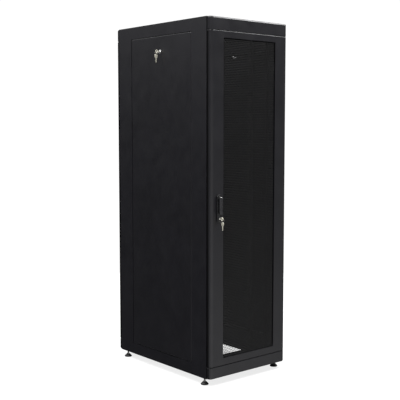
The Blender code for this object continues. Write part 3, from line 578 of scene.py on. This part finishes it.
def settle(
    made, matrix, body, slot, nodes=(), bevel=0.0, angle=SMOOTH_ANGLE, flatten=False, look=None,
):
    """Place a finished piece, round its edges, hang it on the body it rides on and hide the CAD
    nodes it takes the place of.
    """
    made.data.transform(matrix)
    if flatten:
        made.modifiers.new("flatten", "WEIGHTED_NORMAL").keep_sharp = True
    if bevel:
        add_bevel(made, bevel, angle)
    made.data.materials.append(look or LOOKS[slot])
    made.data.shade_smooth()
    made.data.set_sharp_from_angle(angle=math.radians(angle))
    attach(made, body)
    if nodes:
        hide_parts(*nodes)


# ---- swing handles ----------------------------------------------------------------------

HOUSING_WIDTH = 0.032
HOUSING_DEPTH = 0.008
# inset from the outline, depth from the door
HOUSING_RINGS = (
    (0.0004, 0.0), (0.0, 0.0004), (0.0, 0.0052), (0.0003, 0.0064), (0.0010, 0.0074),
    (0.0020, 0.0080), (0.0034, 0.0080), (0.0040, 0.0077), (0.0043, 0.0070), (0.0044, 0.0058),
    (0.0047, 0.0054),
)
SPINDLE_HOLE = 0.0064
PLUG_RADIUS = 0.0055
PLUG_HOLE = 0.0059
# radius, distance out from the housing's face
BOSS_STEPS = ((0.0088, -0.0040), (0.0088, -0.0006), (0.0083, -0.0001))
BOSS_SIDES = 40
LEVER_RADIUS = 0.0075
LEVER_HALF = 0.011
LEVER_DROP = 0.090
LEVER_CORNER = 0.0042
LEVER_DOME = (84, 72, 58, 42, 26, 12)
# share of the way down; half width, how far the back and the front are let in, all in mm
LEVER_RINGS = (
    (0.0, 11.0, 0.0, 0.0), (0.18, 11.0, 0.2, 0.0), (0.30, 10.6, 0.3, 0.0),
    (0.45, 10.2, 0.4, 0.0), (0.58, 10.1, 0.6, 0.0), (0.66, 10.2, 1.6, 0.0),
    (0.74, 10.5, 3.2, 0.0), (0.82, 10.8, 4.4, 0.0), (0.90, 11.0, 4.9, 0.0),
    (0.955, 11.0, 4.7, 0.0), (0.985, 10.6, 5.2, 0.5), (1.0, 9.6, 6.2, 1.6),
)
FORK_HALF = 0.0044
LUG_ROOM = 0.0064
FORK_REACH = 0.00975
# radius, distance across the lever
LEVER_PIN_STEPS = ((0.0012, -0.01125), (0.0019, -0.0110), (0.0019, 0.0110), (0.0012, 0.01125))
LEVER_PIN_SIDES = 20


def handle_matrix(end, joint):
    """Where a joint's local axes stand, for the front or the rear."""
    turn = END_TURNS[end]
    return turn @ Matrix.Translation(turn.inverted() @ PLACES[f"{end}_{joint}"])


def make_housing(end):
    """A rimmed plate with a recess, a boss round the lock and holes for spindle and plug."""
    node = f"{end}_handle_housing"
    low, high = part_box(node)
    spindle, lock = PLACES[f"{end}_handle_turn"], PLACES[f"{end}_lock_turn"]
    bottom, top, drop = low[2] - spindle.z, high[2] - spindle.z, lock.z - spindle.z
    rings = []
    for inset, depth in HOUSING_RINGS:
        outline = stadium(HOUSING_WIDTH - 2 * inset, bottom + inset, top - inset)
        rings.append([outward(x, depth - HOUSING_DEPTH, z) for x, z in outline])
    made = from_bmesh(f"{end}_handle_escutcheon", loft(bmesh.new(), rings))

    def at_lock(u, out, v):
        return outward(u, out, v + drop)

    boolean(made, turned(bmesh.new(), BOSS_STEPS, BOSS_SIDES, at_lock), "UNION")
    drill(made, SPINDLE_HOLE, outward)
    drill(made, PLUG_HOLE, at_lock)
    matrix = handle_matrix(end, "handle_turn")
    settle(made, matrix, f"{end}_door", "handle_plastic", [node], flatten=True)


def lever_section(half, back, front, z):
    """A rounded rectangle across the lever: back towards the door, front away from it."""
    corner = min(LEVER_CORNER, half * 0.98, (front - back) / 2 * 0.98)
    points = []
    for x, y, start in (
        (half - corner, front - corner, 0.0), (corner - half, front - corner, 0.5),
        (corner - half, back + corner, 1.0), (half - corner, back + corner, 1.5),
    ):
        for i in range(6):
            angle = math.pi * (start + i / 10)
            points.append(outward(x + corner * math.cos(angle), y + corner * math.sin(angle), z))
    return points


def make_lever(end):
    """The grip: domed over its pivot, slightly waisted, its free end hollow for the fingers."""
    rings = []
    for degrees in LEVER_DOME:
        angle = math.radians(degrees)
        reach = LEVER_RADIUS * math.cos(angle)
        rings.append(lever_section(LEVER_HALF, -reach, reach, LEVER_RADIUS * math.sin(angle)))
    for share, half, hollow, relief in LEVER_RINGS:
        back, front = hollow * MM - LEVER_RADIUS, LEVER_RADIUS - relief * MM
        rings.append(lever_section(half * MM, back, front, -LEVER_DROP * share))
    made = from_bmesh(f"{end}_swing_lever", loft(bmesh.new(), rings))
    fork_low = (-FORK_HALF, -LUG_ROOM, -FORK_REACH)
    fork_high = (FORK_HALF, 2 * LEVER_RADIUS, 2 * LEVER_RADIUS)
    boolean(made, block(bmesh.new(), fork_low, fork_high), "DIFFERENCE")
    matrix = handle_matrix(end, "lever_tilt")
    nodes = [f"{end}_handle_lever"]
    settle(made, matrix, f"{end}_lever", "handle_lever", nodes, flatten=True)
    pin = turned(bmesh.new(), LEVER_PIN_STEPS, LEVER_PIN_SIDES, lambda u, x, v: (x, u, v))
    settle(from_bmesh(f"{end}_lever_pin", pin), matrix, f"{end}_lever", "zinc_steel")


# ---- locks and keys ---------------------------------------------------------------------

PLUG_PROUD = 0.003
PLUG_CHAMFER = 0.0003
PLUG_SIDES = 36
# radius, distance out from the plug's face
PLUG_FACE = (
    (PLUG_RADIUS, -0.0006), (0.0050, -0.0001), (0.0046, 0.0), (0.0044, -0.0002),
    (0.0040, -0.0002), (0.0038, 0.0),
)
DOOR_PLUG_INSIDE = 0.0077
SIDE_PLUG_INSIDE = 0.0372
KEYWAY_HALF = 0.0008
KEYWAY_RISE = 0.0036
KEYWAY_FLOOR = 0.0004
KEYWAY_REACH = 0.02
CAM_START, CAM_END = 0.0333, 0.0358
CAM_WIDTH = 0.012
CAM_LOW, CAM_HIGH = -0.006, 0.034
BARREL_BACK = 0.0288
BARREL_RADIUS = 0.009
BARREL_SIDES = 36
# radius, distance out from the panel
BARREL_FLANGE = (
    (PLUG_HOLE, 0.0), (0.0075, -0.0002), (0.0102, 0.0), (0.011, -0.0007), (0.011, -0.002),
)
BARREL_THREAD_DEPTH = 0.0005
BARREL_PITCH = 0.0015
BARREL_THREAD_START = 0.0022
BARREL_NUT = (0.0036, 0.0078)
BARREL_NUT_FLAT = 0.022
NUT_SIDES = 36
NUT_CHAMFER = 0.14
NUT_FACE = 0.97
THREAD_ANGLE = 25

KEY_HALF = 0.001
KEY_SHANK_HALF = 0.003
KEY_BOW = 0.0108
KEY_BOW_STEPS = 32
KEY_CENTRE = 0.010583
KEY_HOLE = 0.0027
KEY_HOLE_OUT = 0.0055
KEY_HOLE_SIDES = 28
KEY_NECK = 0.006
KEY_BLADE = 0.026
# (out, up) points of the blade's tip, above and below, and the start of its lower edge
KEY_TIP = ((0.0, 0.0006), (0.0018, 0.0022))
KEY_CHIN = ((0.0, -0.0012), (0.0016, -KEY_SHANK_HALF))
# depth of each cut in mm; then the cuts' start, pitch, flat length, end and last rise
BITTING = (0.7, 1.3, 0.5, 1.1)
BITTING_START = 0.0030
BITTING_PITCH = 0.0034
CUT_FLAT = 0.0014
CUT_END = 0.0022
CUT_RISE = 0.0003
LAST_RISE = 0.0008
# the sunk panel of the bow and the groove of the blade
DISH_RADIUS = 0.0030
DISH_BACK = 0.0045
DISH_FLOOR = 0.0006
GROOVE_UP = (-0.0016, -0.0002)
GROOVE_FLOOR = 0.0004
GROOVE_PAST_TIP = 0.002
GROOVE_PAST_BLADE = 0.001
CUTTER_REACH = 0.004
KEY_ROUND = 0.00022
KEY_ANGLE = 50
KEY_GAP = 0.0003

RING_RADIUS = 0.0105
RING_WIRE = 0.00048
RING_WIRE_SIDES = 8
RING_HALF_PITCH = 0.0005
RING_STEPS = 72
RING_START = 0.4
RING_CROSSING = 16
RING_ANGLE = 60
# how far the middle of the ring's wire lies from the edge of a key's hole
RING_REST = 0.0014


def lock_matrix(place):
    """Local axes on the face of a lock, from its turning joint."""
    point = PLACES[f"{place}_lock_turn"]
    turn = END_TURNS[place] if place in END_TURNS else HAND_TURNS[place.split("_")[1]]
    return turn @ Matrix.Translation(turn.inverted() @ point)


def make_plug(place, inside):
    """The plug: a chamfered face with its keyway, and on a side lock the cam behind it."""
    steps = [(PLUG_RADIUS - PLUG_CHAMFER, -inside), (PLUG_RADIUS, PLUG_CHAMFER - inside)]
    steps += [(radius, PLUG_PROUD + out) for radius, out in PLUG_FACE]
    made = from_bmesh(f"{place}_plug", turned(bmesh.new(), steps, PLUG_SIDES, outward))
    keyway_low = (-KEYWAY_HALF, -KEYWAY_REACH, -KEYWAY_RISE)
    keyway_high = (KEYWAY_HALF, -KEYWAY_FLOOR, KEYWAY_RISE)
    boolean(made, block(bmesh.new(), keyway_low, keyway_high), "DIFFERENCE")
    if inside > CAM_START:
        outline = stadium(CAM_WIDTH, CAM_LOW, CAM_HIGH)
        cam = prism(bmesh.new(), outline, CAM_START, CAM_END, lambda x, z, y: (x, y, z))
        boolean(made, cam, "UNION")
    settle(made, lock_matrix(place), f"{place}_lock", "lock_chrome", [f"{place}_lock_plug"])


def make_barrel(hand):
    """The side lock's threaded barrel with its flange, and the nut that clamps it."""
    place = f"side_{hand}"
    node = f"{place}_lock_barrel"
    matrix = lock_matrix(place)
    thread = threads(
        BARREL_RADIUS, BARREL_THREAD_DEPTH, BARREL_PITCH, BARREL_THREAD_START, BARREL_BACK,
    )
    steps = [*BARREL_FLANGE, *((radius, -along) for radius, along in thread)]
    steps += [(PLUG_HOLE, -BARREL_BACK)]
    body = turned(bmesh.new(), steps, BARREL_SIDES, outward, closed=True)
    made = from_bmesh(f"{place}_barrel", body)
    settle(made, matrix, f"{place}_panel", "lock_chrome", [node], angle=THREAD_ANGLE)
    nut = hex_nut(
        f"{place}_barrel_nut", BARREL_NUT_FLAT, BARREL_RADIUS, BARREL_NUT,
        lambda u, y, v: outward(u, -y, v),
    )
    settle(nut, matrix, f"{place}_panel", "lock_chrome")


def hex_nut(name, flat, bore, span, place):
    """A six-sided nut with chamfered corners and a round bore."""
    low, high = span
    edge = (high - low) * NUT_CHAMFER
    face = flat / 2 * NUT_FACE
    rings = []
    # radius of a round ring, or None for a six-sided one, and where it lies
    for radius, along in (
        (bore, low), (face, low), (None, low + edge), (None, high - edge), (face, high),
        (bore, high),
    ):
        ring = []
        for i in range(NUT_SIDES):
            angle = 2 * math.pi * i / NUT_SIDES
            reach = radius
            if radius is None:
                turn = (angle + math.pi / 6) % (math.pi / 3) - math.pi / 6
                reach = flat / 2 / math.cos(turn)
            ring.append(place(reach * math.cos(angle), along, reach * math.sin(angle)))
        rings.append(ring)
    return from_bmesh(name, loft(bmesh.new(), rings, closed=True))


def blade_points(blade):
    """The key's shank as (out, up) points, cut with bitting where it is long enough."""
    if blade <= KEY_NECK:
        return [(0, KEY_SHANK_HALF), (0, -KEY_SHANK_HALF)]
    upper = list(KEY_TIP)
    out = BITTING_START
    for cut in BITTING:
        depth = KEY_SHANK_HALF - cut * MM
        upper += [(out, depth), (out + CUT_FLAT, depth)]
        upper += [(out + CUT_END, KEY_SHANK_HALF - CUT_RISE)]
        out += BITTING_PITCH
    upper += [(out + LAST_RISE, KEY_SHANK_HALF)]
    return [*upper[::-1], *KEY_CHIN]


def key_solid(name, blade, place):
    """A milled key: bow with a sunk panel, a hole for the ring and grooves along the blade."""
    start = math.asin(KEY_SHANK_HALF / KEY_BOW)
    centre = blade + KEY_CENTRE
    points = blade_points(blade)
    for i in range(KEY_BOW_STEPS + 1):
        angle = math.pi + start + 2 * (math.pi - start) * i / KEY_BOW_STEPS
        points.append((centre + KEY_BOW * math.cos(angle), KEY_BOW * math.sin(angle)))
    made = from_bmesh(name, prism(bmesh.new(), points, -KEY_HALF, KEY_HALF, place))
    hole, dish = centre + KEY_HOLE_OUT, centre - DISH_BACK
    for radius, along, low, high in (
        (KEY_HOLE, hole, -CUTTER_REACH, CUTTER_REACH),
        (DISH_RADIUS, dish, DISH_FLOOR, CUTTER_REACH),
        (DISH_RADIUS, dish, -CUTTER_REACH, -DISH_FLOOR),
    ):
        outline = [(along + u, v) for u, v in circle(radius, KEY_HOLE_SIDES)]
        boolean(made, prism(bmesh.new(), outline, low, high, place), "DIFFERENCE")
    if blade > KEY_NECK:
        tip, end = -GROOVE_PAST_TIP, blade + GROOVE_PAST_BLADE
        low_up, high_up = GROOVE_UP
        groove = [(tip, low_up), (end, low_up), (end, high_up), (tip, high_up)]
        for low, high in ((GROOVE_FLOOR, CUTTER_REACH), (-CUTTER_REACH, -GROOVE_FLOOR)):
            boolean(made, prism(bmesh.new(), groove, low, high, place), "DIFFERENCE")
    return made, hole


def ring_coil(name, centre):
    """A split ring: two turns of wire, closed up against each other."""
    rings = []
    for i in range(RING_STEPS + 1):
        share = i / RING_STEPS
        around = 4 * math.pi * share + RING_START
        shift = RING_HALF_PITCH * max(-1.0, min(1.0, RING_CROSSING * (share - 0.5)))
        ring = []
        for u, v in circle(RING_WIRE, RING_WIRE_SIDES):
            radius = RING_RADIUS + u
            ring.append((
                centre.x + radius * math.sin(around),
                centre.y + shift + v,
                centre.z + radius * math.cos(around),
            ))
        rings.append(ring)
    return from_bmesh(name, loft(bmesh.new(), rings))


def make_keys(place):
    """The key in a lock, the split ring through its bow and the spare key that hangs on it."""
    matrix = lock_matrix(place)
    lock, keys = f"{place}_lock", f"{place}_keys"
    finish = {"bevel": KEY_ROUND, "angle": KEY_ANGLE}
    face = PLUG_PROUD + KEY_GAP
    key, hole = key_solid(
        f"{place}_lock_key", KEY_NECK, lambda out, up, across: (across, -(face + out), up),
    )
    settle(key, matrix, lock, "key_nickel", [f"{place}_key"], **finish)
    hang = Vector((0, -(face + hole), KEY_HOLE - RING_REST))
    ring = ring_coil(f"{place}_split_ring", hang - Vector((0, 0, RING_RADIUS)))
    settle(ring, matrix, keys, "key_ring_steel", [f"{place}_key_ring"], angle=RING_ANGLE)
    low = hang.z - 2 * RING_RADIUS - KEY_HOLE + RING_REST
    foot = low - (KEY_BLADE + KEY_CENTRE + KEY_HOLE_OUT)
    spare, _ = key_solid(
        f"{place}_hanging_key", KEY_BLADE,
        lambda out, up, across: (across, hang.y + up, foot + out),
    )
    settle(spare, matrix, keys, "key_nickel", [f"{place}_spare_key"], **finish)


# ---- levelling feet ---------------------------------------------------------------------

FOOT_SIDES = 48
FOOT_RIBS = 12
# of the sides from one rib to the next, those that are sunk into a pocket
FOOT_POCKET = (1, 2, 3)
# radius, height, how far the pockets between the ribs are sunk
FOOT_RINGS = (
    (0.0190, 0.0000, 0.0), (0.0216, 0.0002, 0.0), (0.0225, 0.0012, 0.0),
    (0.0225, 0.0048, 0.0), (0.0219, 0.0058, 0.0), (0.0210, 0.0063, 0.0),
    (0.0200, 0.0074, 0.0016), (0.0165, 0.0112, 0.0022), (0.0132, 0.0146, 0.0016),
    (0.0118, 0.0160, 0.0), (0.0108, 0.0174, 0.0), (0.0098, 0.0180, 0.0), (0.0060, 0.0180, 0.0),
)
STUD_RADIUS = 0.005
STUD_PITCH = 0.0015
STUD_THREAD_DEPTH = 0.0006
STUD_FOOT = 0.0176
STUD_TOP = 0.072
STUD_SIDES = 24
COLLAR = (0.0181, 0.0225)
COLLAR_FLAT = 0.0125
LOCK_NUT = (0.0442, 0.0502)
LOCK_NUT_FLAT = 0.017


def make_foot(name):
    """A ribbed pad, a spanner collar under its threaded stud, and the lock nut in the beam."""
    low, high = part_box(name)
    x, y = (low[0] + high[0]) / 2, (low[1] + high[1]) / 2
    still = Matrix.Identity(4)

    def upright(u, z, v):
        return (x + u, y + v, z)

    rings = []
    for radius, z, sunk in FOOT_RINGS:
        ring = []
        for i in range(FOOT_SIDES):
            angle = 2 * math.pi * i / FOOT_SIDES
            reach = radius - (sunk if i % (FOOT_SIDES // FOOT_RIBS) in FOOT_POCKET else 0.0)
            ring.append((x + reach * math.cos(angle), y + reach * math.sin(angle), z))
        rings.append(ring)
    pad = from_bmesh(f"{name}_pad", loft(bmesh.new(), rings))
    settle(pad, still, name, "foot", [name])
    steps = [(STUD_RADIUS, STUD_FOOT)]
    steps += threads(STUD_RADIUS, STUD_THREAD_DEPTH, STUD_PITCH, COLLAR[1], STUD_TOP)
    stud = from_bmesh(f"{name}_stud", turned(bmesh.new(), steps, STUD_SIDES, upright))
    settle(stud, still, name, "zinc_steel", angle=THREAD_ANGLE)
    collar = hex_nut(f"{name}_collar", COLLAR_FLAT, STUD_RADIUS, COLLAR, upright)
    settle(collar, still, name, "zinc_steel", angle=THREAD_ANGLE)
    nut = hex_nut(f"{name}_lock_nut", LOCK_NUT_FLAT, STUD_RADIUS, LOCK_NUT, upright)
    settle(nut, still, "cabinet", "zinc_steel", angle=THREAD_ANGLE)


# ---- side panels ------------------------------------------------------------------------

PANEL_SHEET = 0.0012
PANEL_EDGE = 0.0045
PANEL_EDGE_STEPS = 3
PANEL_CORNER = PANEL_EDGE * 1.6
PANEL_CORNER_LEAST = 0.0004
PANEL_HOLE = 0.0093


def rounded_loop(low, high, inset):
    """Four rounded corners of a panel seen from its side, as (y, z) points."""
    points = []
    corner = PANEL_CORNER
    reach = max(corner - inset, PANEL_CORNER_LEAST)
    for y, z, start in (
        (high[1] - corner, high[2] - corner, 0.0), (low[1] + corner, high[2] - corner, 0.5),
        (low[1] + corner, low[2] + corner, 1.0), (high[1] - corner, low[2] + corner, 1.5),
    ):
        for i in range(5):
            angle = math.pi * (start + i / 8)
            points.append((y + reach * math.cos(angle), z + reach * math.sin(angle)))
    return points


def rounded_edge(radius, sheet):
    """A quarter round from the rim to the face, as (inset, depth) pairs."""
    steps = []
    for i in range(PANEL_EDGE_STEPS + 1):
        angle = math.pi / 2 * i / PANEL_EDGE_STEPS
        inset, depth = radius * (1 - math.cos(angle)), radius * (1 - math.sin(angle))
        steps.append((sheet + inset, sheet + depth))
    return steps


def make_side_panel(hand):
    """The pressed pan with rounded edges, its folded rim and the hole for its lock."""
    node = f"side_panel_{hand}"
    low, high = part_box(node)
    side = HAND_SIDES[hand]
    face, rim = (low[0], high[0]) if side < 0 else (high[0], low[0])
    deep = abs(face - rim)
    outer = [(0.0, deep)] + rounded_edge(PANEL_EDGE, 0.0)
    inner = [(PANEL_SHEET, deep)] + rounded_edge(PANEL_EDGE - PANEL_SHEET, PANEL_SHEET)
    rings = []
    for inset, depth in inner[::-1] + outer:
        rings.append([(face - side * depth, y, z) for y, z in rounded_loop(low, high, inset)])
    made = from_bmesh(f"{node}_pressing", loft(bmesh.new(), rings))
    lock = PLACES[f"side_{hand}_lock_turn"]
    drill(made, PANEL_HOLE, lambda u, x, v: (face + x, lock.y + u, lock.z + v))
    settle(made, Matrix.Identity(4), f"side_{hand}_panel", "skin_coat", [node], flatten=True)


# ---- painted shade strips ---------------------------------------------------------------

# size of the black strips of painted shade
SHADE_STRIP_PROUD = 0.0004
SHADE_STRIP_DEPTH = 0.0030
SHADE_STRIP_WIDTH = 0.0075
SHADE_STRIP_MARGIN = 0.0030


def make_shade_strips(node, body, end):
    """A black strip of painted shade on the two upright rear edges of a door's or a fascia's
    returns, standing in for the shadow in the gap beside the frame.
    """
    low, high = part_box(node)
    back, step = (high[1], -SHADE_STRIP_WIDTH) if end == "front" else (low[1], SHADE_STRIP_WIDTH)
    y_low, y_high = sorted((back, back + step))
    for hand, side in HAND_SIDES.items():
        face = low[0] if side < 0 else high[0]
        x_low, x_high = sorted((face + side * SHADE_STRIP_PROUD, face - side * SHADE_STRIP_DEPTH))
        strip_low = (x_low, y_low, low[2] + SHADE_STRIP_MARGIN)
        strip_high = (x_high, y_high, high[2] - SHADE_STRIP_MARGIN)
        made = from_bmesh(f"{node}_{hand}_shade_strip", block(bmesh.new(), strip_low, strip_high))
        settle(made, Matrix.Identity(4), body, "foot", look=SHADE_STRIP_BLACK)


make_camera()
make_stage()
make_lights()
dress_nodes()
make_mesh_sheet()
for end_name in END_TURNS:
    make_housing(end_name)
    make_lever(end_name)
    make_plug(end_name, DOOR_PLUG_INSIDE)
for hand_name in HAND_SIDES:
    make_side_panel(hand_name)
    make_plug(f"side_{hand_name}", SIDE_PLUG_INSIDE)
    make_barrel(hand_name)
for lock_name in ("front", "side_left", "side_right"):
    make_keys(lock_name)
# doors and fascias get black strips of painted shade along their upright rear edges
for end_name, door in (("front", "front_door_frame"), ("rear", "rear_door_pan")):
    make_shade_strips(door, f"{end_name}_door", end_name)
    for level in ("top", "bottom"):
        make_shade_strips(f"fascia_{end_name}_{level}", "cabinet", end_name)
for end_name in END_TURNS:
    for hand_name in HAND_SIDES:
        make_foot(f"foot_{end_name}_{hand_name}")
